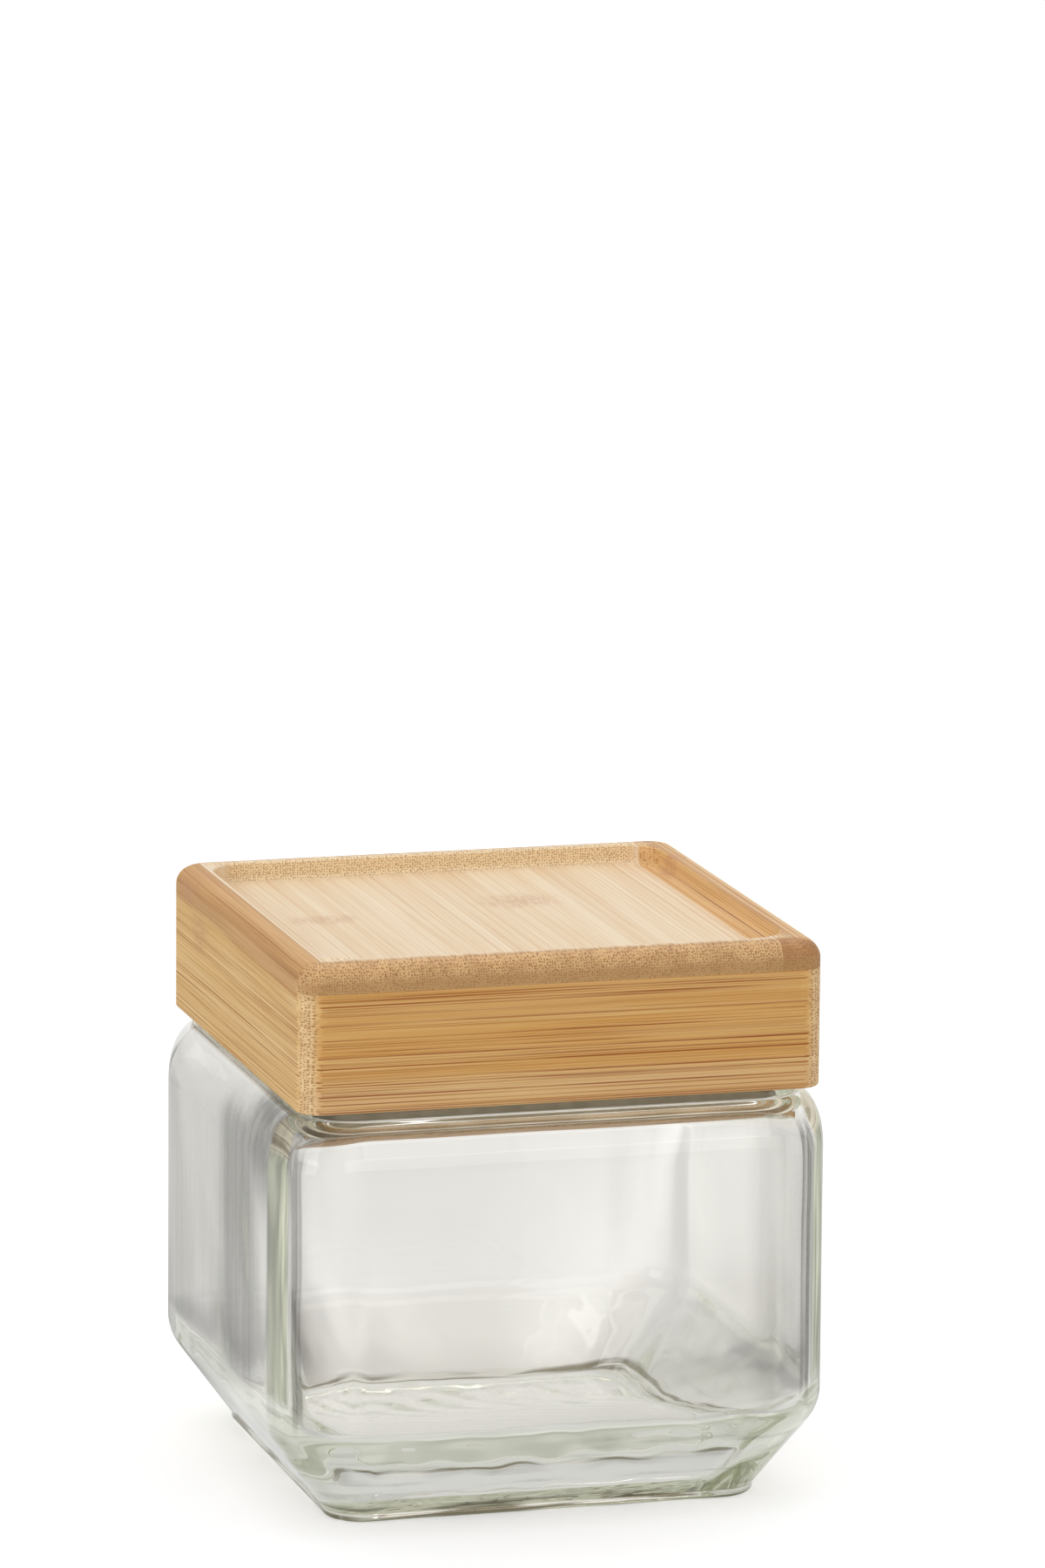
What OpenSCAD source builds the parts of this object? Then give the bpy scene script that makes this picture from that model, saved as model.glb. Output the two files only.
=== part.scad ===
// Square glass storage jar with a bamboo lid that another jar of its kind can stand on.
// The origin is the middle of the foot, +Z is up and the front faces -Y.

/* [Glass body] */
// Width of the body across its flat sides
body_w = 116; // [104:1:130]
// Radius of the body's four upright corners
body_corner_r = 17.4; // [15:0.2:20]
// Thickness of the side walls and of the mouth
wall_t = 3.4; // [2.6:0.1:4.2]
// Height of the straight part of the walls
wall_h = 53.8; // [30:0.2:90]

/* [Foot] */
// How far the foot stands inside the body on each side
foot_in = 12.7; // [10:0.1:15]
// Radius of the foot's upright corners
foot_corner_r = 8; // [6:0.2:11]
// Height of the foot's upright band
foot_h = 1.9; // [1.7:0.1:5]
// Height of the sloping band between the foot and the walls
slope_h = 17.3; // [14:0.1:22]
// Height over which the sloping band bends into the wall
slope_bend_h = 4; // [2:0.5:6]
// Rounding of the foot's lower edge
foot_edge_r = 1.4; // [0.6:0.1:1.6]
// Width of the flat ring that the jar stands on
bearing_w = 6; // [4:0.5:9]
// Depth of the shallow hollow inside that ring
hollow_h = 0.6; // [0.3:0.1:1]
// Radius of that hollow's corners
hollow_corner_r = 6; // [3:0.5:10]

/* [Inside of the glass] */
// Thickness of the glass across its upright corners, which are thinner than its walls
corner_t = 2.2; // [1.6:0.1:3.4]
// Thickness of the glass floor
floor_t = 6.3; // [4:0.1:8]
// How far the edge of the flat floor lies inside the foot's outside
floor_in = 8.3; // [3:0.1:10]
// Radius of the inside corners at the floor
floor_corner_r = 6; // [4:0.5:10]
// Height over which the floor bends into the inner slope
floor_bend_h = 0.8; // [0.5:0.1:3]
// How far above the outer bend the inner slope meets the wall
inner_rise = 2; // [1:0.1:3]
// Height over which the inner slope bends into the wall
inner_bend_h = 3.5; // [2:0.1:5]

/* [Shoulder and mouth] */
// How far the shoulder draws in on each side
shoulder_in = 5.8; // [4.6:0.1:7]
// Height of the shoulder's curve
shoulder_h = 12; // [9:0.5:16]
// Height of the mouth's upright band above the shoulder
neck_h = 2; // [1.6:0.1:4]
// Hollow rounding between the shoulder and the mouth
neck_fillet_r = 0.8; // [0.3:0.1:1.2]
// Rounding of both edges of the rim
rim_r = 1.1; // [0.5:0.1:1.2]

/* [Lid frame] */
// How far the lid stands out beyond the mouth on each side
lid_over = 2.25; // [1:0.05:3.5]
// Height of the mitred frame
frame_h = 24.5; // [16:0.5:34]
// Thickness of the frame's sides
frame_t = 6; // [5:0.25:8]
// Radius of the lid's upright corners
lid_corner_r = 4.8; // [4.6:0.2:9]
// Bevel of the frame's lower edge
frame_bevel = 0.5; // [0.2:0.1:1]

/* [Lid top board] */
// Thickness of the top board
board_t = 5.9; // [5.4:0.1:9]
// Rounding of the top board's outer edge
board_round_r = 4.1; // [2:0.1:4.4]
// Width of the narrow strip at the left edge
left_strip_w = 4.95; // [3:0.05:12]
// Width of the narrow strip at the right edge
right_strip_w = 9.15; // [3:0.05:12]

/* [Stacking recess] */
// Room left around the foot of the jar that stands in the recess
recess_clear = 3.2; // [2:0.1:4]
// Depth of the recess
recess_depth = 4.2; // [2.5:0.1:4.6]
// Radius of the recess's upright corners
recess_corner_r = 8; // [5:0.5:11]
// Rounding between the recess's wall and its floor
recess_fillet_r = 1.5; // [0.5:0.1:2]
// Rounding of the recess's upper edge
recess_edge_r = 0.5; // [0.2:0.1:0.8]

/* [Plug and seal] */
// How far the plug reaches into the mouth
plug_h = 5.5; // [4.8:0.1:7]
// Thickness of the plug board inside the frame
plug_seat_t = 6; // [4:0.5:10]
// Bevel of the plug's lower edge
plug_bevel = 0.5; // [0.2:0.1:0.6]
// Thickness of the seal's band around the plug
seal_t = 1.6; // [1:0.1:2]
// How far each lip stands out from the band
lip_reach = 1.3; // [0.8:0.1:1.6]
// Thickness of a lip at its tip
lip_tip_t = 0.5; // [0.4:0.1:0.8]
// Height over which a lip slopes out from the band to its tip
lip_slope_h = 0.8; // [0.4:0.1:0.9]
// Depth of the groove that holds the seal
groove_deep = 1.4; // [0.8:0.1:1.6]
// Height of the groove
groove_h = 2; // [1.4:0.1:2.2]

/* [Fits] */
// Gap between the lips and the glass
lip_clear = 0.3; // [0.2:0.05:0.5]

/* [Hidden] */
$fn = 96;

// Segments in a rounded edge and in a long curve
edge_steps = 5;
curve_steps = 10;
// Facets round a blended corner, and the thickness of the plates it is blended from
blend_fn = 48;
plate_t = 0.01;
// How far a cut runs past the face that it opens
past = 1;

// Half widths of the glass, and the place that its corners are rounded about
body_half = body_w / 2;
corner_c = body_half - body_corner_r;
inside_half = body_half - wall_t;
foot_half = body_half - foot_in;
neck_half = body_half - shoulder_in;
mouth_half = neck_half - wall_t;
floor_half = foot_half - floor_in;

// Radius of the inside's upright corners. A corner of radius r cuts r * (sqrt(2) - 1) off the
// diagonal of its square.
inner_corner_r = body_corner_r + (corner_t - sqrt(2) * wall_t) / (sqrt(2) - 1);

// Heights of the glass, from the foot up
slope_top = foot_h + slope_h;
wall_top = slope_top + wall_h;
shoulder_top = wall_top + shoulder_h;
rim_z = shoulder_top + neck_h;
inner_bend_z = slope_top + inner_rise;

// The lid, which rests on the rim
lid_half = neck_half + lid_over;
lid_c = lid_half - lid_corner_r;
frame_inside = lid_half - frame_t;
board_z = rim_z + frame_h;
lid_top = board_z + board_t;

// The top board's strips: full ones, and a narrow one at each edge
full_strips = 4;
strips = full_strips + 2;
strip_w = (2 * lid_half - left_strip_w - right_strip_w) / full_strips;

// The recess, which takes the foot of a like jar
recess_half = foot_half + recess_clear;
recess_c = recess_half - recess_corner_r;
recess_z = lid_top - recess_depth;

// The plug and its seal
plug_half = mouth_half - lip_clear - lip_reach - seal_t;
plug_z = rim_z - plug_h;
groove_half = plug_half - groove_deep;
groove_z = rim_z - (plug_h + groove_h) / 2;
band_half = plug_half + seal_t;
lip_half = band_half + lip_reach;
lips = 2;
lip_root_t = lip_tip_t + lip_slope_h;
lip_step = (plug_h - plug_bevel) / lips;

// Points of a quarter arc of radius r about [x, z], from angle a to angle b in degrees
function arc(x, z, r, a, b) = [for (i = [0:edge_steps])
    let (t = a + (b - a) * i / edge_steps) [x + r * cos(t), z + r * sin(t)]];

// Points of a shoulder that draws in from half width w at height z. It rises by h, and would
// come in by d at its level end, but stops once it has come in by the last argument.
function shoulder(w, z, d, h, stop) =
    let (last = acos(1 - stop / d))
    [for (i = [0:curve_steps]) let (t = last * i / curve_steps)
        [w - d * (1 - cos(t)), z + h * sin(t)]];

// Points of a parabola from start to end that leaves and arrives along the lines to bend
function parabola(start, bend, end) = [for (i = [0:edge_steps]) let (t = i / edge_steps)
    (1 - t) * (1 - t) * start + 2 * t * (1 - t) * bend + t * t * end];

// Corner radius where the half width is w, if it runs evenly from r1 at w1 to r2 at w2
function corner_at(w, w1, r1, w2, r2) = r1 + (r2 - r1) * (w - w1) / (w2 - w1);

// Sections of the sloping band as [half width, corner radius, height]. It rises straight, then
// bends into the wall along a parabola.
function slope_sections() =
    let (bend = [body_half, slope_top],
         run = slope_bend_h / slope_h * [foot_in, slope_h])
    [for (p = concat([[foot_half, foot_h]],
            parabola(bend - run, bend, bend + [0, slope_bend_h])))
        [p[0], corner_at(p[0], foot_half, foot_corner_r, body_half, body_corner_r), p[1]]];

// Sections of the inside. The flat floor bends into the inner slope, and that into the wall.
function inside_sections() =
    let (edge = [floor_half, floor_t],
         bend = [inside_half, inner_bend_z],
         slope = (bend - edge) / (inner_bend_z - floor_t),
         low = floor_bend_h * slope,
         high = inner_bend_h * slope)
    [for (p = concat(parabola(edge - [norm(low), 0], edge, edge + low),
            parabola(bend - high, bend, bend + [0, inner_bend_h])))
        [p[0], corner_at(p[0], floor_half, floor_corner_r, inside_half, inner_corner_r), p[1]]];

// Sections of the inside of the shoulder, whose corners widen out again towards the mouth
function inner_shoulder_sections() =
    [for (p = shoulder(inside_half, wall_top, shoulder_in, shoulder_h - wall_t, shoulder_in))
        [p[0], corner_at(p[0], mouth_half, mouth_half - corner_c, inside_half, inner_corner_r),
         p[1]]];

// Outline of one lip of the seal, whose root starts at height z
function lip(z) = [[band_half, z], [lip_half, z + lip_slope_h],
    [lip_half, z + lip_root_t], [band_half, z + lip_root_t]];

// A square form with round upright corners. The outline lists [half width, height] from the
// bottom up, and the corners turn about points that stand c from the middle both ways.
module squared(c, outline) {
    low = outline[0][1];
    high = outline[len(outline) - 1][1];
    across = concat(outline, [for (i = [len(outline) - 1:-1:0]) [-outline[i][0], outline[i][1]]]);
    corner = concat([[0, low]], [for (p = outline) [p[0] - c, p[1]]], [[0, high]]);
    for (turn = [0, 90])
        rotate([90, 0, turn])
            linear_extrude(height = 2 * c, center = true)
                polygon(across);
    for (turn = [0:90:270])
        rotate(turn)
            translate([c, c, 0])
                rotate_extrude(angle = 90)
                    polygon(corner);
}

// One smooth body through sections given as [half width, corner radius, height]
module blended(sections) {
    hull()
        for (s = sections, x = [-1, 1], y = [-1, 1])
            translate([x * (s[0] - s[1]), y * (s[0] - s[1]), s[2] - plate_t / 2])
                cylinder(r = s[1], h = plate_t, $fn = blend_fn);
}

// Outside of the glass
module jar_outside() {
    squared(foot_half - foot_corner_r,
        concat(arc(foot_half - foot_edge_r, foot_edge_r, foot_edge_r, -90, 0),
            [[foot_half, foot_h]]));
    blended(slope_sections());
    squared(corner_c,
        concat([[body_half, slope_top + slope_bend_h]],
            shoulder(body_half, wall_top, shoulder_in, shoulder_h, shoulder_in - neck_fillet_r),
            neck_outline()));
}

// The hollow rounding at the root of the mouth, then the mouth and its rounded rim
function neck_outline() =
    let (level = wall_top + shoulder_h * sin(acos(neck_fillet_r / shoulder_in)))
    concat(arc(neck_half + neck_fillet_r, level + neck_fillet_r, neck_fillet_r, 270, 180),
        arc(neck_half - rim_r, rim_z - rim_r, rim_r, 0, 90));

// Inside of the glass, open at the mouth
module jar_inside() {
    blended(concat(inside_sections(), inner_shoulder_sections()));
    squared(corner_c,
        concat([[mouth_half, wall_top]],
            arc(mouth_half + rim_r, rim_z - rim_r, rim_r, 180, 90),
            [[mouth_half + rim_r, rim_z + past]]));
}

// The shallow hollow under the floor, with a sloping edge
module foot_hollow() {
    hollow_half = foot_half - foot_edge_r - bearing_w;
    squared(hollow_half - hollow_corner_r,
        [[hollow_half + past, -past], [hollow_half - hollow_h, hollow_h]]);
}

module jar() {
    color([0.84, 0.90, 0.88, 0.45])
        difference() {
            jar_outside();
            jar_inside();
            foot_hollow();
        }
}

// The whole frame before it is parted at its mitres
module frame_ring() {
    difference() {
        squared(lid_c, [[lid_half - frame_bevel, rim_z], [lid_half, rim_z + frame_bevel],
            [lid_half, board_z]]);
        translate([-frame_inside, -frame_inside, rim_z - past])
            cube([2 * frame_inside, 2 * frame_inside, frame_h + 2 * past]);
    }
}

// One side of the frame, mitred at both ends. No turn gives the front one.
module frame_side(turn) {
    reach = lid_half + past;
    color([0.82, 0.63, 0.38])
        intersection() {
            frame_ring();
            rotate(turn)
                translate([0, 0, rim_z - past])
                    linear_extrude(height = frame_h + 2 * past)
                        polygon([[0, 0], [-reach, -reach], [reach, -reach]]);
        }
}

// The recess's outline, which widens past the board's top face
module recess() {
    squared(recess_c,
        concat(arc(recess_half - recess_fillet_r, recess_z + recess_fillet_r, recess_fillet_r,
                -90, 0),
            arc(recess_half + recess_edge_r, lid_top - recess_edge_r, recess_edge_r, 180, 90),
            [[recess_half + recess_edge_r, lid_top + past]]));
}

// The whole top board before it is parted into its strips
module board() {
    difference() {
        squared(lid_c, concat([[lid_half, board_z]],
            arc(lid_half - board_round_r, lid_top - board_round_r, board_round_r, 0, 90)));
        recess();
    }
}

// Left side of strip i, counted from 1 at the lid's left edge. One past the last gives the
// lid's right edge.
function strip_x(i) = i == 1 ? -lid_half
    : i == strips + 1 ? lid_half
    : -lid_half + left_strip_w + (i - 2) * strip_w;

module top_strip(i) {
    color([0.90, 0.79, 0.61])
        intersection() {
            board();
            translate([strip_x(i), -lid_half, board_z])
                cube([strip_x(i + 1) - strip_x(i), 2 * lid_half, board_t]);
        }
}

// Sides of the plug with its groove, from height low to high. They also shape the seal's inside.
function plug_sides(low, high) = [[plug_half, low], [plug_half, groove_z],
    [groove_half, groove_z], [groove_half, groove_z + groove_h],
    [plug_half, groove_z + groove_h], [plug_half, high]];

module plug_board() {
    color([0.80, 0.62, 0.40]) {
        squared(corner_c, concat([[plug_half - plug_bevel, plug_z]],
            plug_sides(plug_z + plug_bevel, rim_z + plug_seat_t)));
        translate([-frame_inside, -frame_inside, rim_z])
            cube([2 * frame_inside, 2 * frame_inside, plug_seat_t]);
    }
}

module seal_ring() {
    low = plug_z + plug_bevel;
    color([0.88, 0.89, 0.86])
        difference() {
            squared(corner_c, concat([[band_half, low]],
                [for (i = [0:lips - 1]) each lip(low + (i + 0.5) * lip_step - lip_root_t / 2)],
                [[band_half, rim_z]]));
            squared(corner_c, plug_sides(low - past, rim_z + past));
        }
}

jar();
frame_side(0);  // frame_front
frame_side(90);  // frame_right
frame_side(180);  // frame_back
frame_side(270);  // frame_left
top_strip(1);  // top_strip_1
top_strip(2);  // top_strip_2
top_strip(3);  // top_strip_3
top_strip(4);  // top_strip_4
top_strip(5);  // top_strip_5
top_strip(6);  // top_strip_6
plug_board();
seal_ring();
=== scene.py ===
# %% [markdown]
# # A square glass jar with a bamboo stacking lid
#
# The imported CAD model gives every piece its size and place. This lesson dresses it: the jar
# becomes smooth, slightly wavy pressed glass, and the lid becomes bamboo whose fibre bundles
# run through the solid wood, so that they show as streaks along a strip and as dots on its
# ends. Each step is one cell, with a few words before it on the real thing.

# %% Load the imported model
import math

import bmesh
import bpy
import numpy as np
from mathutils import Matrix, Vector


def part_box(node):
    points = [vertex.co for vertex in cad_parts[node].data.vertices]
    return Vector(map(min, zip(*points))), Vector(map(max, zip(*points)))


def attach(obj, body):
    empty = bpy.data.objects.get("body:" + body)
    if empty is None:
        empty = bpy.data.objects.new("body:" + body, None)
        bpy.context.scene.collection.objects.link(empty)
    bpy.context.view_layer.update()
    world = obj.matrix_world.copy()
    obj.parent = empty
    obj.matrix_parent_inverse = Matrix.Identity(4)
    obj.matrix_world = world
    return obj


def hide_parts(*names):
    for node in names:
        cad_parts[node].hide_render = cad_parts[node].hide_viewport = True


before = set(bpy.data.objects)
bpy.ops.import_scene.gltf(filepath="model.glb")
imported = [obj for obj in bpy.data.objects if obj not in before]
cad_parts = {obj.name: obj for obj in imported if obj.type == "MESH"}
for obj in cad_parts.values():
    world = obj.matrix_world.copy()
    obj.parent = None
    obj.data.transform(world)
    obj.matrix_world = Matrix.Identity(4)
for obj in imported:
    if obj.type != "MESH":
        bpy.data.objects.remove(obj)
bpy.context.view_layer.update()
print("CAD nodes:", ", ".join(sorted(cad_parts)))

# %% [markdown]
# ## The camera
#
# A long lens looks at the jar from above its left front corner. The place, the turn and the
# focal length were solved from the edges of the lid and of the jar in the photograph, with the
# middle of the picture on the lens axis, so the camera needs no shift.

# %% Camera
MM = 0.001
PICTURE_HIGH = 1801
SENSOR_MM = 36
focal_px = 10171.4
eye_mm = (-483.96, -1710.07, 488.73)
yaw, pitch, roll = np.radians((15.9936, 11.0522, 0.4762))

ahead = np.array((math.sin(yaw) * math.cos(pitch), math.cos(yaw) * math.cos(pitch),
                  -math.sin(pitch)))
level_right = np.array((math.cos(yaw), -math.sin(yaw), 0.0))
level_up = np.cross(level_right, ahead)
right = level_right * math.cos(roll) + level_up * math.sin(roll)
up = level_up * math.cos(roll) - level_right * math.sin(roll)

camera = bpy.data.objects.new("camera", bpy.data.cameras.new("camera"))
camera.data.lens = focal_px * SENSOR_MM / PICTURE_HIGH
camera.data.sensor_width = SENSOR_MM
camera.data.clip_end = 50
turned = np.eye(4)
turned[:3, 0], turned[:3, 1], turned[:3, 2] = right, up, -ahead
turned[:3, 3] = np.array(eye_mm) * MM
camera.matrix_world = Matrix(turned.tolist())
bpy.context.collection.objects.link(camera)
scene = bpy.context.scene
scene.camera = camera
scene.view_settings.view_transform = "Standard"
print(f"lens {camera.data.lens:.1f} mm")

# %% [markdown]
# ## Shader sums as plain expressions
#
# A material is a net of nodes, which is hard to read as code. This class wraps the output of
# a node, so that `1 - mask` or `0.3 * noise` adds the Math node by itself. One method adds any
# other node: its settings first, then the numbers, colours or wires of its sockets.

# %% Wires between shader nodes
class Wire:
    """An output of a shader node. Sums and products of wires add Math nodes."""

    def __init__(self, tree, socket=None):
        self.tree, self.socket = tree, socket

    def node(self, kind, settings=None, values=None, out=0):
        """Adds a node of this kind and returns its output called out."""
        made = self.tree.nodes.new("ShaderNode" + kind)
        for name, setting in (settings or {}).items():
            setattr(made, name, setting)
        for name, value in (values or {}).items():
            if isinstance(value, Wire):
                self.tree.links.new(value.socket, made.inputs[name])
            else:
                made.inputs[name].default_value = value
        return Wire(self.tree, made.outputs[out])

    def output(self, name):
        """Another output of the node that this wire comes from."""
        return Wire(self.tree, self.socket.node.outputs[name])

    def math(self, operation, *values):
        return self.node("Math", {"operation": operation}, dict(enumerate(values)))

    def __add__(self, other):
        return self.math("ADD", self, other)

    def __sub__(self, other):
        return self.math("SUBTRACT", self, other)

    def __rsub__(self, other):
        return self.math("SUBTRACT", other, self)

    def __mul__(self, other):
        return self.math("MULTIPLY", self, other)

    def __truediv__(self, other):
        return self.math("DIVIDE", self, other)

    __radd__, __rmul__ = __add__, __mul__

    def size(self):
        return self.math("ABSOLUTE", self)

    def larger(self, other):
        return self.math("MAXIMUM", self, other)

    def ramp(self, start, stop, low=0.0, high=1.0):
        """Runs smoothly from low to high while this wire goes from start to stop."""
        return self.node("MapRange", {"interpolation_type": "SMOOTHSTEP"},
                         {0: self, 1: start, 2: stop, 3: low, 4: high})

    def blend(self, first, second):
        """The first colour where this wire is 0, the second where it is 1."""
        return self.node("Mix", {"data_type": "RGBA"}, {0: self, 6: first, 7: second}, out=2)


def new_material(name):
    """An empty material and the start of its net of nodes."""
    material = bpy.data.materials.new(name)
    material.use_nodes = True
    material.node_tree.nodes.clear()
    return material, Wire(material.node_tree)


def paint(red, green, blue):
    """A colour given as a screen shows it, from 0 to 255, as the linear values shaders use."""
    shown = np.array((red, green, blue)) / 255
    linear = np.where(shown <= 0.04045, shown / 12.92, ((shown + 0.055) / 1.055) ** 2.4)
    return (*linear.tolist(), 1.0)


print("white is", paint(255, 255, 255))

# %% [markdown]
# ## Floor, surroundings and lamps
#
# The jar stands on a white floor in a white studio. Rays from the camera, and rays that left
# through glass or off a gloss, get a little light of the floor's own, so that it looks white
# and yet keeps the jar's soft shadow. Glass shows what is around it, so the surroundings are
# white near the horizon and greyer overhead, which draws the dark rims that clear glass needs.

# %% Floor
def kinds_of_ray(wire):
    """Two wires: 1 for a ray straight from the camera, and 1 for one out of glass or off a
    gloss. Both are 0 for light that falls on things."""
    direct = wire.node("LightPath", out="Is Camera Ray")
    indirect = direct.output("Is Transmission Ray").larger(direct.output("Is Glossy Ray"))
    return direct, indirect * (1 - direct)


def screens(x, y):
    """Brightness of the surroundings in the direction x, y from the jar: four pale screens
    stand round it with grey gaps between them, as a smooth wave of the compass angle. A narrow
    fifth one stands a little to the left of straight behind."""
    angle = x.math("ARCTAN2", x, y)
    wide, narrow = angle * 4, angle * 17
    fifth = angle.ramp(-0.38, -0.12) * angle.ramp(0.16, -0.04)
    return wide.math("SINE", wide) * SWING + narrow.math("SINE", narrow) * 0.06 + MIDDLE \
        + fifth * 0.28


MIDDLE, SWING = 0.66, 0.33
UNDER = 0.76
FLOOR_REACH = 12.0
floor_mesh = bpy.data.meshes.new("floor")
corners = [(x * FLOOR_REACH, y * FLOOR_REACH, 0) for x, y in ((-1, -1), (1, -1), (1, 1), (-1, 1))]
floor_mesh.from_pydata(corners, [], [(0, 1, 2, 3)])
floor = bpy.data.objects.new("floor", floor_mesh)
bpy.context.collection.objects.link(floor)

floor_material, start = new_material("white_floor")
matt = start.node("BsdfDiffuse", values={"Color": (0.8, 0.8, 0.8, 1)})
direct, indirect = kinds_of_ray(start)
place = start.node("TexCoord", out="Object")
x = start.node("SeparateXYZ", values={0: place}, out="X")
away = start.node("VectorMath", {"operation": "LENGTH"}, {0: place}, out="Value")
lift = start.node("Emission", values={"Strength": direct * away.ramp(0.2, 2.5, 0.4, 0.62)})
lit = start.node("AddShader", values={0: matt, 1: lift})
mirrored = start.node("Emission", values={
    "Strength": away.ramp(0.045, 0.08, UNDER, screens(x, x.output("Y")))})
both = start.node("MixShader", values={0: indirect * 0.85, 1: lit, 2: mirrored})
output = floor_material.node_tree.nodes.new("ShaderNodeOutputMaterial")
floor_material.node_tree.links.new(both.socket, output.inputs["Surface"])
floor_mesh.materials.append(floor_material)
print("floor", 2 * FLOOR_REACH, "m across")

# %% Surroundings
world = bpy.data.worlds.new("studio")
scene.world = world
world.use_nodes = True
world.node_tree.nodes.clear()
start = Wire(world.node_tree)
OVERHEAD = 0.9
direction = start.node("TexCoord", out="Generated")
x = start.node("SeparateXYZ", values={0: direction}, out="X")
shown = x.output("Z").ramp(0.3, 0.8, screens(x, x.output("Y")), OVERHEAD)
direct, indirect = kinds_of_ray(start)
strength = direct + indirect * shown + (1 - direct - indirect) * 0.6
sky = start.node("Background", values={"Color": (1, 1, 1, 1), "Strength": strength})
output = world.node_tree.nodes.new("ShaderNodeOutputWorld")
world.node_tree.links.new(sky.socket, output.inputs["Surface"])
print("surroundings ready")


# %% Lamps
def lamp(name, place, wide, high, watts):
    """A soft square lamp at a place in metres, turned towards the lid."""
    light = bpy.data.lights.new(name, "AREA")
    light.shape = "RECTANGLE"
    light.size, light.size_y, light.energy = wide, high, watts
    holder = bpy.data.objects.new(name, light)
    towards = np.array((0, 0, 0.09)) - np.array(place)
    back = -towards / np.linalg.norm(towards)
    side = np.cross((0, 0, 1), back) if abs(back[2]) < 0.99 else np.array((1.0, 0, 0))
    side = side / np.linalg.norm(side)
    turned = np.eye(4)
    turned[:3, 0], turned[:3, 1], turned[:3, 2] = side, np.cross(back, side), back
    turned[:3, 3] = place
    holder.matrix_world = Matrix(turned.tolist())
    bpy.context.collection.objects.link(holder)
    return holder


lamp("lamp_above", (0.1, 0.3, 1.5), 1.2, 1.2, 7.0)
lamp("lamp_left", (-1.5, -0.4, 0.7), 0.9, 1.1, 6.0)
lamp("lamp_front", (0.5, -1.7, 0.9), 0.9, 0.9, 3.0)
print("three lamps")

# %% [markdown]
# ## Surfaces from a profile
#
# Every piece of this jar is a rounded square seen from above. A profile lists half widths and
# heights, and one more list gives the radius of the upright corners at each of them. Carried
# round the square, they give rows of points. The rows end in one point in the middle, or close
# on themselves, so each piece is a closed skin whose faces point outwards.

# %% Profiles and rows of points
CORNER_STEPS = 24
SIDE_STEPS = 40


def rounded(points, radii, steps=8):
    """A line through points [half width, height] with its bends rounded.

    At a bend with radius r, which turns by an angle t, both straight runs end r * tan(t / 2)
    short of it. The arc between them turns about a centre that lies r to the inner side.
    A point just before and just after the arc keeps the shading of the flats beside it flat.
    """
    points = np.array(points, float)
    line = [points[:1]]
    for before, bend, after, r in zip(points[:-2], points[1:-1], points[2:], radii):
        if not r:
            line.append(bend[None])
            continue
        come = (bend - before) / np.linalg.norm(bend - before)
        go = (after - bend) / np.linalg.norm(after - bend)
        side = np.sign(come[0] * go[1] - come[1] * go[0])
        turn = math.acos(np.clip(come @ go, -1, 1))
        first = bend - come * r * math.tan(turn / 2)
        centre = first + side * r * np.array((-come[1], come[0]))
        angle = side * np.linspace(0, turn, steps + 1)[:, None]
        arm = first - centre
        swept = np.hstack((arm[0] * np.cos(angle) - arm[1] * np.sin(angle),
                           arm[0] * np.sin(angle) + arm[1] * np.cos(angle)))
        guard = 0.15 * r
        arc = centre + swept
        line += [arc[:1] - come * guard, arc, arc[-1:] + go * guard]
    return np.vstack(line + [points[-1:]])


def around():
    """The rounded square as two lists of directions, corner by corner.

    The first points from the middle to the centre of the corner, as (+-1, +-1), and moves
    evenly from one corner to the next along a side. The second is the direction that the
    surface faces, which turns through 90 degrees in a corner and stays on a side.
    """
    turn = np.linspace(0, 90, CORNER_STEPS + 1)
    share = np.linspace(0, 1, SIDE_STEPS + 1)[1:-1, None]
    signs = np.array(((1, 1), (-1, 1), (-1, -1), (1, -1)), float)
    centres, faces = [], []
    for k in range(4):
        angle = np.radians(90 * k + turn)
        facing = np.column_stack((np.cos(angle), np.sin(angle)))
        centres += [np.tile(signs[k], (len(turn), 1)),
                    signs[k] * (1 - share) + signs[(k + 1) % 4] * share]
        faces += [facing, np.tile(facing[-1], (len(share), 1))]
    return np.vstack(centres), np.vstack(faces)


CENTRES, FACES = around()


def rows(profile, corner):
    """Points of a profile carried round the square, as rows x columns x 3, in mm.

    A point is the corner's centre, which lies (half width - corner radius) out both ways,
    plus the corner radius in the direction that the surface faces there.
    """
    half, high = profile[:, 0, None, None], profile[:, 1]
    radius = np.asarray(corner)[:, None, None]
    flat = CENTRES * (half - radius) + FACES * radius
    upright = np.broadcast_to(high[:, None, None], (*flat.shape[:2], 1))
    return np.concatenate((flat, upright), axis=2)


def skin(name, points, closed=False):
    """A mesh over rows of points in mm. Closed joins the last row to the first, and otherwise
    the first and last rows are each drawn together in one point."""
    count, around_count = points.shape[:2]
    index = np.arange(count * around_count).reshape(count, around_count)
    if closed:
        index = np.vstack((index, index[:1]))
        quads = index
    else:
        quads = index[1:-1]
    next_one = np.roll(quads, -1, axis=1)
    faces = np.stack((quads[:-1], next_one[:-1], next_one[1:], quads[1:]), axis=2)
    faces = faces.reshape(-1, 4).tolist()
    if not closed:
        low, top = index[0, 0], index[-1, 0]
        faces += np.column_stack((np.full(around_count, low), np.roll(index[1], -1),
                                  index[1])).tolist()
        faces += np.column_stack((index[-2], np.roll(index[-2], -1),
                                  np.full(around_count, top))).tolist()
    mesh = bpy.data.meshes.new(name)
    mesh.from_pydata((points.reshape(-1, 3) * MM).tolist(), [], faces)
    return tidy(mesh)


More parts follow.
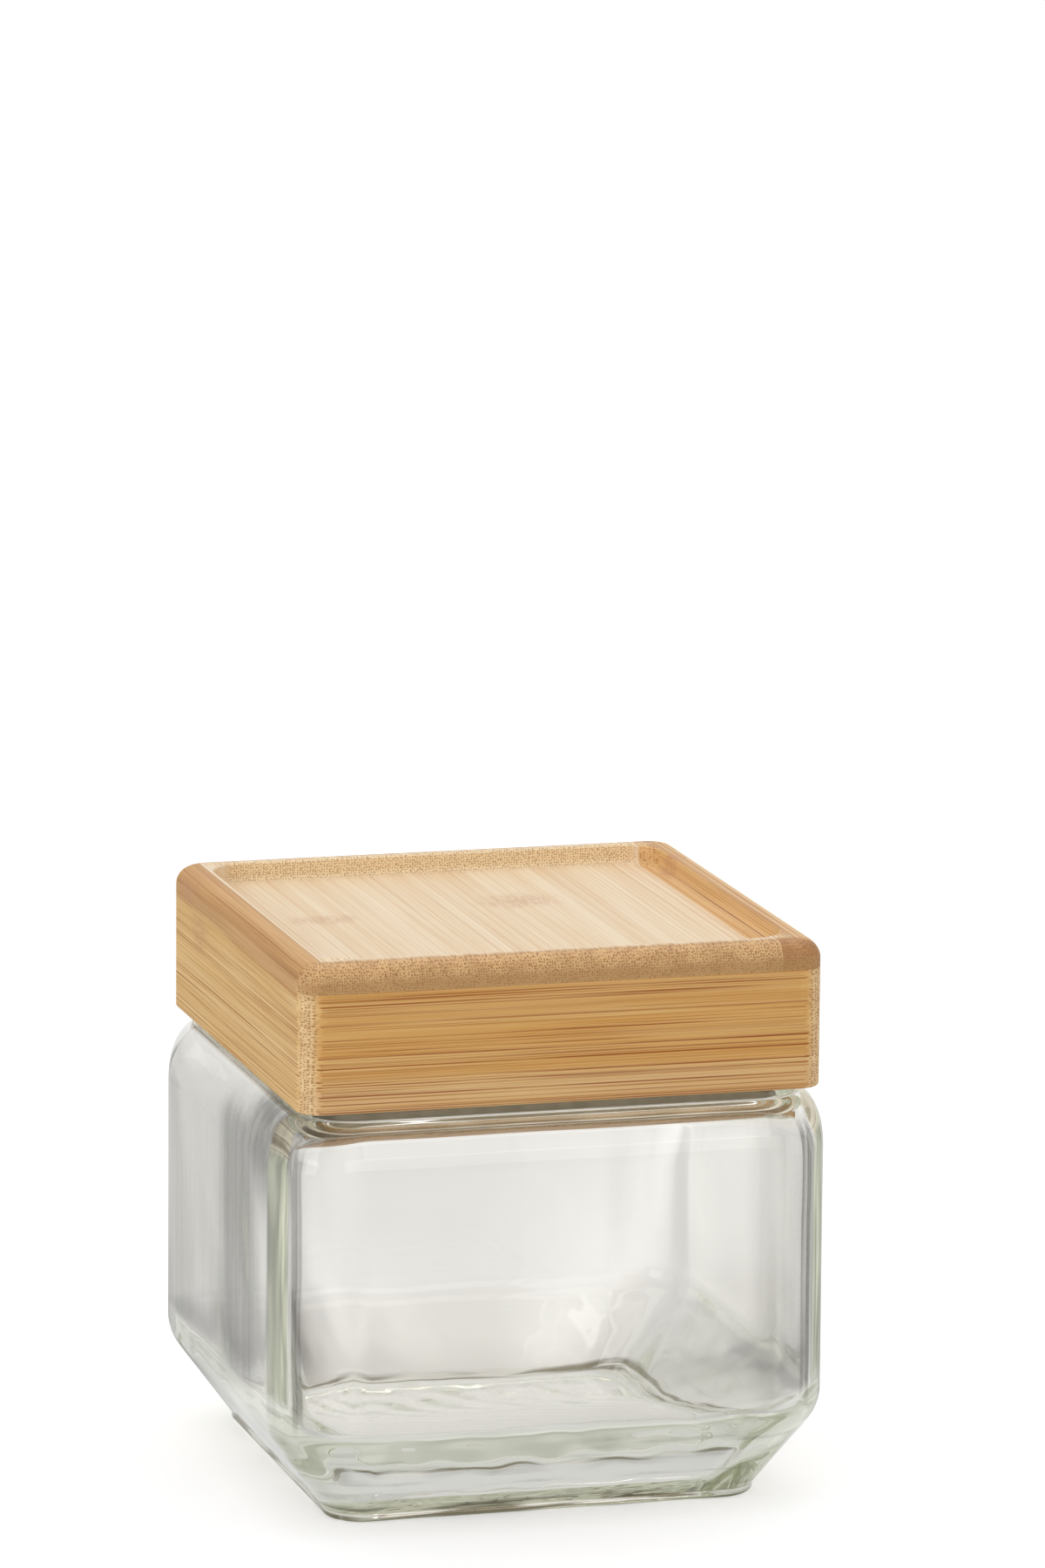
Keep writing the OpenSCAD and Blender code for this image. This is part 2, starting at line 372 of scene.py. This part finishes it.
def tidy(mesh):
    """Drops points that no face uses, and shades the mesh smooth except over sharp edges."""
    work = bmesh.new()
    work.from_mesh(mesh)
    loose = [v for v in work.verts if not v.link_faces]
    bmesh.ops.delete(work, geom=loose, context="VERTS")
    work.to_mesh(mesh)
    work.free()
    mesh.shade_smooth()
    mesh.set_sharp_from_angle(angle=math.radians(32))
    return mesh


def cut(mesh, name, planes):
    """A copy of a closed mesh, cut by planes and closed again at each cut.

    A plane is a point on it in mm and the direction of the side that stays.
    """
    work = bmesh.new()
    work.from_mesh(mesh)
    for point, keep in planes:
        every = work.verts[:] + work.edges[:] + work.faces[:]
        done = bmesh.ops.bisect_plane(work, geom=every, dist=1e-7, clear_inner=True,
                                      plane_co=np.array(point) * MM, plane_no=keep)
        edges = [e for e in done["geom_cut"] if isinstance(e, bmesh.types.BMEdge)]
        bmesh.ops.triangle_fill(work, edges=edges, use_beauty=True)
    bmesh.ops.recalc_face_normals(work, faces=work.faces[:])
    made = bpy.data.meshes.new(name)
    work.to_mesh(made)
    work.free()
    return tidy(made)


def piece(mesh, body, node, material):
    """Puts a mesh in the scene in place of a CAD node, riding on its body."""
    made = bpy.data.objects.new(mesh.name, mesh)
    bpy.context.collection.objects.link(made)
    mesh.materials.append(material)
    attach(made, body)
    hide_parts(node)
    return made


def node_box(node):
    """Lowest and highest corner of a CAD node, in mm."""
    return [np.array(corner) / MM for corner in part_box(node)]


print(len(CENTRES), "points round the square")

# %% [markdown]
# ## Clear glass
#
# Pressed soda-lime glass bends light like any glass and has a faint grey-green cast, which
# only shows where light runs a long way through it, as along the edges and in the foot. That
# cast is an absorption inside the solid. The surface's colour is painted shade: dark upright
# lines and a broad dark band where refraction shows dark, a dark patch under the lid, dark
# streaks on the front slope and a dark brown foot. Rays that have bounced several times inside
# the glass end in a painted glow.

# %% Glass
glass, start = new_material("clear_glass")
place = start.node("TexCoord", out="Object")
x = start.node("SeparateXYZ", values={0: place}, out="X")
y, height = x.output("Y"), x.output("Z")


def patches(wide, tall, detail=1.0):
    """Noise whose patches are this wide and tall in mm."""
    size = (wide * MM, wide * MM, tall * MM)
    where = start.node("VectorMath", {"operation": "DIVIDE"}, {0: place, 1: size})
    return start.node("TexNoise", values={"Vector": where, "Scale": 1.0, "Detail": detail})


def painted_shade_line(centre, along, reach, sway):
    """1 on an upright line of painted shade on the outside, and 0 from reach away, all in mm. The
    line stands at centre, along is the direction of the surface there, and it sways from side to side."""
    off = start.node("CombineXYZ", values={0: x - centre[0] * MM, 1: y - centre[1] * MM})
    far = start.node("VectorMath", {"operation": "LENGTH"}, {0: off}, out="Value")
    step = start.node("VectorMath", {"operation": "DOT_PRODUCT"}, {0: off, 1: along}, out="Value")
    step = step + (patches(90, 22) - 0.5) * (sway * MM)
    return step.size().ramp(reach * MM, 0.4 * reach * MM) * far.ramp((reach + 6) * MM, (reach + 3) * MM)


# Painted shade: dark upright lines on the glass's corners and a broad dark band on its left face, each
# a centre, a direction, a reach, a sway and a depth.
PAINTED_SHADE_LINES = [
    ((51.6, -54.0), (0.78, 0.63, 0), 1.1, 1.5, 1.0),
    ((-54.8, -50.7), (0.58, -0.81, 0), 1.0, 2.0, 0.8),
    ((-57.8, -43.0), (0.14, -0.99, 0), 3.4, 2.0, 0.45),
    ((-58.0, -15.0), (0, 1, 0), 19.0, 5.0, 0.57),
    ((46.6, -57.0), (0.94, 0.34, 0), 8.0, 2.0, 0.28),
]
shade = 0.0 * x
for centre, along, reach, sway, depth in PAINTED_SHADE_LINES:
    shade = shade.larger(painted_shade_line(centre, along, reach, sway) * depth)
shade = shade * height.ramp(0.019, 0.027) * height.ramp(0.083, 0.076)
# Painted shade under the lid, on the front left corner of the glass near its top.
shade_under_lid = painted_shade_line((-57.0, -36.0), (0.2, -0.98, 0), 20.0, 9.0) * height.ramp(0.058, 0.078) * 0.75
shade = shade.larger(shade_under_lid)
# Painted shade: soft dark streaks along the low front slope of the glass.
on_front_slope = y.ramp(-0.040, -0.045) * height.ramp(0.003, 0.006) * height.ramp(0.021, 0.016)
shade = shade.larger(patches(24, 1.8, 2.0).ramp(0.50, 0.66) * on_front_slope * 0.4)
shade = shade * patches(2.5, 60).ramp(0.35, 0.6, 0.7, 1.0)
# Patchy noise for the painted dark brown shade on the foot's side and for the painted glow near the
# lid.
shade_patches = patches(22, 1.4)
# The surface colour: white, darkened by the painted shade above, and on the foot's side a painted dark
# brown shade.
ground = shade.blend((1.0, 0.99, 0.97, 1), (0.10, 0.10, 0.08, 1))
painted_foot_shade = shade_patches.ramp(0.42, 0.60).blend((0.10, 0.08, 0.04, 1), (0.90, 0.87, 0.80, 1))
foot_side = x.size().larger(y.size()).ramp(0.0415, 0.0435) * height.ramp(0.0042, 0.0028)
ground = foot_side.blend(ground, painted_foot_shade)
ripple = start.node("TexNoise", values={"Vector": place, "Scale": 55.0, "Detail": 1.0})
bumps = start.node("Bump", values={
    "Height": ripple + patches(6, 70) * 0.8, "Strength": 0.4, "Distance": 0.00005})
body_of_glass = start.node("BsdfPrincipled", values={
    "Base Color": ground, "Roughness": 0.0, "IOR": 1.52,
    "Transmission Weight": 1.0, "Normal": bumps})
inside = start.node("VolumeAbsorption", values={"Color": (0.80, 0.815, 0.73, 1), "Density": 24.0})
# Painted glow: rays that have bounced a few times inside the glass end in light of this colour,
# grey-green with darker streaks, greyer low down, and with a painted dark brown shade near the lid.
tint = patches(1.9, 26, 1.5).ramp(0.38, 0.66).blend((0.32, 0.33, 0.27, 1), (0.84, 0.86, 0.70, 1))
shaded_glow_near_lid = shade_patches.ramp(0.42, 0.62).blend((0.30, 0.25, 0.17, 1), (0.88, 0.80, 0.66, 1))
low_down = patches(60, 4.5, 2.0).ramp(0.40, 0.60).blend((0.59, 0.60, 0.55, 1), (0.93, 0.93, 0.90, 1))
tint = height.ramp(0.026, 0.018).blend(tint, low_down)
tint = height.ramp(0.076, 0.081).blend(tint, shaded_glow_near_lid)
painted_glow = start.node("Emission", values={"Color": tint, "Strength": 1.0})
# The painted glow takes over from the second glossy bounce inside the glass, fully by the fourth.
passes = start.node("LightPath", out="Glossy Depth").ramp(1.5, 4.0)
kept = start.node("MixShader", values={0: passes, 1: body_of_glass, 2: painted_glow})
clear = start.node("BsdfTransparent", values={"Color": (0.92, 0.93, 0.90, 1)})
shadow = start.node("LightPath", out="Is Shadow Ray")
whole = start.node("MixShader", values={0: shadow, 1: kept, 2: clear})
output = glass.node_tree.nodes.new("ShaderNodeOutputMaterial")
glass.node_tree.links.new(whole.socket, output.inputs["Surface"])
glass.node_tree.links.new(inside.socket, output.inputs["Volume"])
print("glass ready")

# %% [markdown]
# ## The glass body
#
# One skin runs from the middle of the underside out over the foot, up the sloping band and
# the wall, over the shoulder and the rim, and down the inside to the middle of the floor.
# Pressed glass is never quite even, above all where only the plunger touched it, so the inside
# waves by about a tenth of a millimetre and the outside by less.

# %% Glass body
jar_low, jar_high = node_box("jar")
BODY = jar_high[0]
RIM_Z = jar_high[2]
WALL = 3.4
FOOT = BODY - 12.7
FOOT_H = 1.9
FOOT_EDGE_R = 1.4
FOOT_CORNER_R = 8.0
SLOPE_TOP = 19.2
WALL_TOP = 73.0
SHOULDER_IN = 5.8
SHOULDER_H = 12.0
NECK = BODY - SHOULDER_IN
CORNER_C = BODY - 17.4
CORNER_T = 2.2
INNER_R = BODY - CORNER_C + (CORNER_T - math.sqrt(2) * WALL) / (math.sqrt(2) - 1)
FLOOR_T = 6.3
FLOOR_EDGE = FOOT - 8.3
FLOOR_CORNER_R = 6.0
INNER_BEND_Z = SLOPE_TOP + 2
INSIDE = BODY - WALL
MOUTH = NECK - WALL


def shoulder(half, drawn_in, low, rise, stop, steps=28):
    """A quarter of an ellipse that leaves the wall upright and draws in by drawn_in over rise.
    It stops where it has come in by stop."""
    turn = np.linspace(0, math.acos(1 - stop / drawn_in), steps)
    return np.column_stack((half - drawn_in * (1 - np.cos(turn)), low + rise * np.sin(turn)))


def even(line, step):
    """The same line with points added, so that none of its straight runs is longer than step."""
    parts = [line[:1]]
    for first, last in zip(line[:-1], line[1:]):
        count = max(1, math.ceil(np.linalg.norm(last - first) / step))
        parts.append(first + (last - first) * np.linspace(0, 1, count + 1)[1:, None])
    return np.vstack(parts)


HOLLOW = FOOT - FOOT_EDGE_R - 6.0
outside_low = rounded(
    [(0, 0.6), (HOLLOW - 0.6, 0.6), (HOLLOW, 0), (FOOT, 0), (FOOT, FOOT_H), (BODY, SLOPE_TOP),
     (BODY, WALL_TOP)],
    [0.6, 0.6, FOOT_EDGE_R, 0.3, 10.6])
outside_low = even(outside_low, 3.0)
corner_low = np.interp(
    outside_low[:, 0], (0, HOLLOW - 0.6, HOLLOW, FOOT - FOOT_EDGE_R, FOOT, BODY),
    (0, 5.4, 6.0, FOOT_CORNER_R - FOOT_EDGE_R, FOOT_CORNER_R, BODY - CORNER_C))
neck_level = WALL_TOP + SHOULDER_H * math.sin(math.acos(0.8 / SHOULDER_IN))
outside_high = np.vstack((
    shoulder(BODY, SHOULDER_IN, WALL_TOP, SHOULDER_H, SHOULDER_IN - 0.8)[1:],
    rounded([(NECK + 0.5, neck_level), (NECK, neck_level), (NECK, RIM_Z), (MOUTH, RIM_Z),
             (MOUTH, RIM_Z - 3)], [0.45, 1.1, 1.1])[1:-1]))
inside_wall = np.vstack((
    shoulder(INSIDE, SHOULDER_IN, WALL_TOP, SHOULDER_H - WALL, SHOULDER_IN)[::-1],
    even(np.array([(INSIDE, WALL_TOP), (INSIDE, INNER_BEND_Z + 10)]), 2.0)[1:]))
inside_low = rounded([(INSIDE, INNER_BEND_Z + 10), (INSIDE, INNER_BEND_Z), (FLOOR_EDGE, FLOOR_T),
                      (0, FLOOR_T)], [8.0, 2.5])
inside_low = even(inside_low, 1.2)[1:]
corner_inside = np.interp(inside_low[:, 0], (0, FLOOR_EDGE - 3, FLOOR_EDGE, INSIDE),
                          (0, FLOOR_CORNER_R - 1, FLOOR_CORNER_R, INNER_R))
corner_wall = np.interp(inside_wall[:, 0], (MOUTH, INSIDE), (MOUTH - CORNER_C, INNER_R))
profile = np.vstack((outside_low, outside_high, inside_wall, inside_low))
corner = np.concatenate((corner_low, outside_high[:, 0] - CORNER_C, corner_wall, corner_inside))


def wave(points, shortest, longest, seed):
    """An unevenness between -1 and 1: the mean of a few sines of the place, each with its own
    direction and a wavelength in mm between shortest and longest."""
    draw = np.random.default_rng(seed)
    heading = draw.normal(size=(7, 3))
    heading /= np.linalg.norm(heading, axis=1)[:, None]
    length = draw.uniform(shortest, longest, 7)
    phase = draw.uniform(0, 2 * math.pi, 7)
    return np.sin(points @ (heading * (2 * math.pi / length[:, None])).T + phase).mean(axis=2)


def facing(profile):
    """The direction that a profile faces, a quarter turn clockwise from the way it runs."""
    run = np.gradient(profile, axis=0)
    run /= np.linalg.norm(run, axis=1)[:, None]
    return np.column_stack((run[:, 1], -run[:, 0]))


base = rows(profile, corner)
out, lift_up = facing(profile).T
is_inside = np.arange(len(profile)) >= len(outside_low) + len(outside_high)
uneven = wave(base, 25, 70, 7)
low_down = np.interp(profile[:, 1], (FLOOR_T, INNER_BEND_Z - 4, INNER_BEND_Z + 2), (1, 1, 0))
push = np.where(is_inside[:, None], 0.22 * uneven, -0.04 * (1 + uneven))
push += np.where(is_inside, 0.23 * low_down, 0)[:, None] * wave(base, 5, 13, 3)
push *= np.interp(profile[:, 0], (4, 16), (0, 1))[:, None]
push *= np.interp(profile[:, 1], (0.7, 4), (0, 1))[:, None]
base[..., :2] += FACES * (push * out[:, None])[..., None]
base[..., 2] += push * lift_up[:, None]
near_bend = np.interp(profile[:, 1], (FLOOR_T + 4, INNER_BEND_Z, INNER_BEND_Z + 8, INNER_BEND_Z + 20),
                      (0, 1, 1, 0)) * is_inside
base[..., 2] += 0.8 * near_bend[:, None] * wave(base, 14, 40, 11)
glass_body = piece(skin("glass_body", base), "jar", "jar", glass)
print(len(glass_body.data.polygons), "faces in the glass")

# %% [markdown]
# ## Bamboo
#
# Bamboo is a pale ground with dark bundles of fibre that run straight along the stem, about a
# millimetre apart. The bundles are drawn as spots in the cross-section, and a spot has no end
# along the grain. Where a face runs with the grain it cuts them into long streaks, and where
# it runs across the grain it shows dots, with every stage in between on a rounded corner.
# Fine fibre lines, slow changes of tone, knot marks and dark glue lines are laid over it.

# %% Bamboo
def bamboo(name, grain, seed, pale, deep, fibre, honey, dot, contrast=0.8, end=None, glue=None,
           marks=(), tones=()):
    """A bamboo strip. Colours are the pale and the deep ground and the bundles of a face along
    the grain, and the ground and the dots of a face across it. contrast is how strongly the
    bundles stand out. end and glue are functions of x, y, z in mm: how far the face lies
    across the grain, and how near it is to a glued joint. tones are pairs of such a function
    and a colour that it lays over the wood, and marks are knots, each with a centre, a reach
    and a depth."""
    material, start = new_material(name)
    place = start.node("TexCoord", out="Object")
    point = start.node("VectorMath", {"operation": "SCALE"}, {0: place, "Scale": 1 / MM})
    x = start.node("SeparateXYZ", values={0: point})
    y, z = x.output("Y"), x.output("Z")
    along, across = (y, x) if grain == "y" else (x, y)

    def noise(long, wide, tall, shift, detail=2.0):
        """Noise whose patches are this long, wide and tall in mm."""
        where = start.node("CombineXYZ", values={
            0: along / long + (seed + shift), 1: across / wide, 2: z / tall})
        return start.node("TexNoise", values={"Vector": where, "Scale": 1.0, "Detail": detail})

    sway = noise(90, 12, 12, 0.0) * 0.7
    where = start.node("CombineXYZ", values={0: across + sway + seed * 13.7, 1: z + sway * 0.6})
    cells = start.node("TexVoronoi", {"voronoi_dimensions": "2D"},
                       {"Vector": where, "Scale": BUNDLES_PER_MM, "Randomness": 0.6},
                       out="Distance")
    rank = start.node("SeparateColor", values={0: cells.output("Color")})
    radius = rank * 0.14 + 0.24
    bundle = cells.ramp(radius + 0.08, radius - 0.08)
    spot = cells.ramp(radius + 0.07, radius - 0.10)
    strong = rank.output("Green").ramp(0.15, 0.95, 0.2, 1.0)
    fades = noise(35, 1.5, 1.5, 3.1).ramp(0.3, 0.6, 0.45, 1.0)
    thread = noise(75, 0.22, 0.22, 7.3, 1.0).ramp(0.60, 0.68)
    fine = noise(28, 0.25, 0.25, 5.7, 3.0)
    broad = noise(110, 4, 2.5, 9.2).ramp(0.35, 0.65)

    colour = (broad * 0.55 + fine.ramp(0.35, 0.7) * 0.45).blend(pale, deep)
    streak = (bundle * strong * fades).larger(thread * 0.55)
    colour = (streak * contrast).blend(colour, fibre)
    if end:
        cut_ground = (broad * 0.25 + noise(9, 2, 2, 21.0) * 0.2).blend(honey, dot)
        cut_face = (spot * (rank * 0.3 + 0.6)).blend(cut_ground, dot)
        colour = end(x, y, z).blend(colour, cut_face)
    for tone, toned in tones:
        colour = (tone(x, y, z) * (1 - spot * 0.7)).blend(colour, toned)
    for centre, reach, depth in marks:
        warp = start.node("VectorMath", {"operation": "SUBTRACT"}, {0: point, 1: centre})
        warp = start.node("VectorMath", {"operation": "DIVIDE"}, {0: warp, 1: reach})
        far = start.node("VectorMath", {"operation": "LENGTH"}, {0: warp}, out="Value")
        far = far + (noise(6, 1.2, 3, 12.0) - 0.5) * 0.9
        speckle = noise(2.5, 0.5, 0.5, 17.0).ramp(0.4, 0.6, 0.3, 1.0)
        colour = (far.ramp(1.0, 0.3) * speckle * depth).blend(colour, KNOT)
    if glue:
        broken = noise(9, 9, 9, 15.0).ramp(0.35, 0.6, 0.2, 1.0)
        colour = (glue(x, y, z) * broken).blend(colour, GLUE)
    relief = bundle * 0.4 + fine * 0.6
    bumps = start.node("Bump", values={"Height": relief, "Strength": 0.35, "Distance": 0.00004})
    shader = start.node("BsdfPrincipled", values={
        "Base Color": colour, "Roughness": fine * 0.2 + 0.4, "Normal": bumps})
    output = material.node_tree.nodes.new("ShaderNodeOutputMaterial")
    material.node_tree.links.new(shader.socket, output.inputs["Surface"])
    return material


BUNDLES_PER_MM = 1.9
LID = node_box("frame_right")[1][0]
BOARD_Z = node_box("top_strip_1")[0][2]
LID_TOP = node_box("top_strip_1")[1][2]
LID_CORNER_R = 4.8
TOP_CORNER_R = 3.0
FRAME_T = 6.0
BOARD_ROUND = 4.1
RECESS = 48.5
RECESS_CORNER_R = 8.0
RECESS_Z = LID_TOP - 4.2
RECESS_FILLET = 1.5
KNOT = paint(196, 142, 100)
GLUE = paint(136, 90, 50)
print(f"lid {2 * LID:.1f} mm wide, board from {BOARD_Z:.1f} to {LID_TOP:.1f} mm")

# %% [markdown]
# ## The top board
#
# The lid's top is a board of bamboo strips glued edge to edge, about 6 mm thick, with its edge
# rounded over and a square recess routed into it for the foot of the next jar. The whole board
# is made first and then sawn into its six strips, so their surfaces run on across the joints.

# %% Top board and its six strips
outer = rounded([(0, BOARD_Z), (LID, BOARD_Z), (LID, LID_TOP), (RECESS, LID_TOP),
                 (RECESS, RECESS_Z), (0, RECESS_Z)],
                [0, BOARD_ROUND, 0.5, RECESS_FILLET], steps=12)
outer = even(outer, 12.0)
on_recess = (outer[:, 1] > BOARD_Z + 0.01) & (outer[:, 0] < RECESS + 0.8)
edge_radius = np.where(outer[:, 1] < BOARD_Z + 0.01, outer[:, 0] * LID_CORNER_R / LID,
                       np.interp(outer[:, 0], (LID - BOARD_ROUND, LID), (TOP_CORNER_R, LID_CORNER_R)))
recess_radius = np.interp(outer[:, 0], (0, RECESS - 2, RECESS + 1),
                          (0, RECESS_CORNER_R - 2, RECESS_CORNER_R + 1))
board = skin("board", rows(outer, np.where(on_recess, recess_radius, edge_radius)))


def past(wire, level):
    """How far a coordinate lies beyond a level on either side, or 0."""
    return (wire.size() - level).larger(0.0)


def turned_to(way, *others):
    """How far a rounded edge faces one way. The arguments are how far a point lies out from the
    middle of the rounding each way, and the first is taken as a share of the whole distance."""
    whole = way.node("CombineXYZ", values=dict(enumerate((way, *others))))
    distance = way.node("VectorMath", {"operation": "LENGTH"}, {0: whole}, out="Value")
    return (way / (distance + 0.01)).ramp(0.12, 0.6)


def end_wall(x, y, z):
    """1 on the recess's walls at its front and back, and 0 on its floor and outside it."""
    within = (RECESS - y.size()).ramp(-0.6, -0.2) * (RECESS - x.size()).ramp(-0.6, -0.2)
    return within * (y.size() - (RECESS - RECESS_FILLET)).ramp(0, RECESS_FILLET) \
        * (z - RECESS_Z).ramp(0.02, 0.5)


def board_end(x, y, z):
    """How far the board's face lies across its grain. On the rounded front and back edges
    that follows the way the face turns, and it is 1 on the recess's end walls."""
    edge = turned_to(past(y, LID - BOARD_ROUND - 1.6), past(x, LID - BOARD_ROUND),
                     (z - (LID_TOP - BOARD_ROUND)).larger(0.0))
    return edge.larger(end_wall(x, y, z))


def board_glue(joints):
    """Nearness to a strip's glued joints, each given as the plane that cuts it."""
    def near(x, y, z):
        sides = 0.0 * x
        for (level, _, _), _ in joints:
            sides = sides.larger((x - float(level)).size().ramp(0.1, 0.02))
        return sides * (0.3 - 0.2 * board_end(x, y, z))
    return near


def board_tone(x, y, z):
    """The lower half of the board's front edge, where the bundles stand dense and fine."""
    front = (y.size() - (LID - BOARD_ROUND)).ramp(0, 2.5)
    return front * (z - BOARD_Z).ramp(3.4, 1.6) * 0.7


def wall_tone(x, y, z):
    """The recess's end walls, which catch light from the floor beside them."""
    return end_wall(x, y, z) * 0.85


CREAM = dict(pale=paint(242, 223, 193), deep=paint(232, 205, 167), fibre=paint(208, 158, 104),
             honey=paint(228, 184, 126), dot=paint(150, 98, 46), contrast=0.5)
OLIVE = paint(192, 146, 90)
LIGHT = paint(255, 232, 190)
strip_looks = {
    1: dict(CREAM, pale=paint(214, 168, 108), deep=paint(190, 140, 80), fibre=paint(156, 96, 42),
            contrast=0.9),
    2: CREAM, 3: CREAM, 4: CREAM, 5: CREAM,
    6: dict(CREAM, pale=paint(238, 198, 142), deep=paint(218, 174, 114), fibre=paint(164, 100, 46),
            honey=paint(196, 144, 90), contrast=0.95),
}
strip_marks = {
    1: [((-54, 40, 115), (5, 9, 8), 0.7)],
    2: [((-33, 8, 113), (10, 6, 9), 0.4)],
    4: [((11, 17, 113), (12, 9, 9), 0.45)],
    6: [((49, 34, 115), (4, 6, 8), 0.7)],
}
for number, look in strip_looks.items():
    low, high = node_box(f"top_strip_{number}")
    joints = [((low[0], 0, 0), (1, 0, 0))] * (number > 1)
    joints += [((high[0], 0, 0), (-1, 0, 0))] * (number < len(strip_looks))
    strip = cut(board, f"board_strip_{number}", joints)
    wood = bamboo(f"bamboo_strip_{number}", "y", number * 1.37, end=board_end,
                  glue=board_glue(joints), marks=strip_marks.get(number, ()),
                  tones=((board_tone, OLIVE), (wall_tone, LIGHT)), **look)
    piece(strip, "lid", f"top_strip_{number}", wood)
bpy.data.meshes.remove(board)
print("six strips")

# %% [markdown]
# ## The mitred frame
#
# Under the board stand four bamboo strips on edge, mitred at the corners. Their corners are
# rounded after gluing, which cuts through the fibres, so the streaks of each side turn into
# dots towards the mitre. As with the board, the ring is made whole and then cut at 45 degrees.

# %% Frame
inner = LID - FRAME_T
section = np.vstack((
    rounded([(inner, RIM_Z), (LID, RIM_Z), (LID, BOARD_Z)], [0.6]),
    [(inner, BOARD_Z)]))
section_radius = np.where(section[:, 0] > inner + 1, section[:, 0] - (LID - LID_CORNER_R), 0.3)
ring = skin("ring", rows(section, section_radius), closed=True)


def frame_end(x, y, z, along_x):
    """How far a side's face lies across its grain, on the rounded corners."""
    along, across = (x, y) if along_x else (y, x)
    return turned_to(past(along, LID - LID_CORNER_R), past(across, LID - LID_CORNER_R))


def frame_glue(x, y, z):
    """Nearness to the mitres."""
    return (x.size() - y.size()).size().ramp(0.12, 0.03) * 0.45


TAN = dict(pale=paint(235, 190, 120), deep=paint(219, 160, 78), fibre=paint(160, 84, 10),
           honey=paint(252, 216, 160), dot=paint(172, 120, 66), contrast=1.0)
# A paler, yellower copy of TAN for the frame's left side: painted light, as that side faces the left
# lamp.
LIT_TAN = dict(TAN, pale=paint(240, 204, 140), deep=paint(224, 180, 108), fibre=paint(172, 104, 34))
REDDER = paint(196, 128, 56)
PALER = paint(234, 207, 168)
UPPER_TONE = BOARD_Z - 6


def front_tone(x, y, z):
    """The front's upper part is darker, down to a line that a dark streak follows."""
    return (z - UPPER_TONE).ramp(-0.4, 0.4) * (LID - LID_CORNER_R - x.size()).ramp(0, 1) * 0.15


def front_low_tone(x, y, z):
    """The front's lowest part is paler."""
    return (RIM_Z + 9 - z).ramp(0, 6) * 0.28


sides = {
    "front": ((0, -1), "x", TAN, (), ((front_tone, REDDER), (front_low_tone, PALER))),
    "right": ((1, 0), "y", TAN, (), ()),
    "back": ((0, 1), "x", TAN, (), ()),
    # The left side wears the painted-light copy of TAN.
    "left": ((-1, 0), "y", LIT_TAN, [((-54.45, 30, 107), (6, 9, 5), 0.5)], ()),
}
for order, (side, ((sx, sy), grain, look, marks, tones)) in enumerate(sides.items()):
    planes = [((0, 0, 0), (sx + sy, sy - sx, 0)), ((0, 0, 0), (sx - sy, sy + sx, 0))]
    strip = cut(ring, f"frame_{side}_strip", planes)

    def side_end(x, y, z, along_x=grain == "x"):
        return frame_end(x, y, z, along_x)

    wood = bamboo(f"bamboo_{side}", grain, 11.3 + order * 2.1, end=side_end, glue=frame_glue,
                  marks=marks, tones=tones, **look)
    piece(strip, "lid", f"frame_{side}", wood)
bpy.data.meshes.remove(ring)
print("four frame sides")

# %% [markdown]
# ## The plug and its seal
#
# A bamboo board closes the frame from below. Its lower part reaches into the mouth, and a
# silicone ring with two soft lips sits round it, held by a bead in a groove.

# %% Plug board
PLUG = MOUTH - 3.2
PLUG_Z = RIM_Z - 5.5
GROOVE_Z = RIM_Z - 3.75
seat = inner - 0.05
plug_line = rounded(
    [(0, PLUG_Z), (PLUG, PLUG_Z), (PLUG, GROOVE_Z), (PLUG - 1.4, GROOVE_Z),
     (PLUG - 1.4, GROOVE_Z + 2), (PLUG, GROOVE_Z + 2), (PLUG, RIM_Z), (seat, RIM_Z),
     (seat, RIM_Z + 6), (0, RIM_Z + 6)],
    [0.5, 0, 0, 0, 0, 0, 0, 0])
plug_line = even(plug_line, 12.0)
plug_radius = np.where(plug_line[:, 0] < 40, plug_line[:, 0] * 0.11, plug_line[:, 0] - CORNER_C)
plug_radius = np.where((plug_line[:, 0] > PLUG + 0.5) | (plug_line[:, 1] > RIM_Z + 0.01),
                       np.minimum(plug_line[:, 0] * 0.01, 0.3), plug_radius)
plain_wood = bamboo("bamboo_plug", "y", 31.7, end=lambda x, y, z: (y.size() - PLUG).ramp(-0.3, 0.0),
                    **TAN)
piece(skin("plug", rows(plug_line, plug_radius)), "lid", "plug_board", plain_wood)
print("plug board")

# %% Seal
silicone, start = new_material("silicone")
place = start.node("TexCoord", out="Object")
cloud = start.node("TexNoise", values={"Vector": place, "Scale": 300.0, "Detail": 2.0})
tint = cloud.ramp(0.3, 0.7).blend((0.62, 0.50, 0.34, 1), (0.72, 0.60, 0.43, 1))
soft = start.node("BsdfPrincipled", values={
    "Base Color": tint, "Roughness": cloud * 0.1 + 0.3, "IOR": 1.41,
    "Transmission Weight": 0.15})
output = silicone.node_tree.nodes.new("ShaderNodeOutputMaterial")
silicone.node_tree.links.new(soft.socket, output.inputs["Surface"])

BAND = PLUG + 1.6
LIP = BAND + 1.3
low_z = PLUG_Z + 0.5
seal_line, bends = [(PLUG, low_z), (BAND, low_z)], [0.25]
for middle in (low_z + 1.25, low_z + 3.75):
    seal_line += [(BAND, middle - 0.65), (LIP, middle + 0.15), (LIP, middle + 0.65),
                  (BAND, middle + 0.65)]
    bends += [0.3, 0.15, 0.15, 0.15]
seal_line += [(BAND, RIM_Z), (PLUG, RIM_Z), (PLUG, GROOVE_Z + 2), (PLUG - 1.4, GROOVE_Z + 2),
              (PLUG - 1.4, GROOVE_Z), (PLUG, GROOVE_Z)]
bends += [0.25, 0, 0, 0.2, 0.2, 0]
seal_line = rounded(seal_line + [(PLUG, low_z + 0.01)], bends, steps=4)
seal = skin("seal", rows(seal_line, seal_line[:, 0] - CORNER_C), closed=True)
piece(seal, "lid", "seal_ring", silicone)
print("seal")
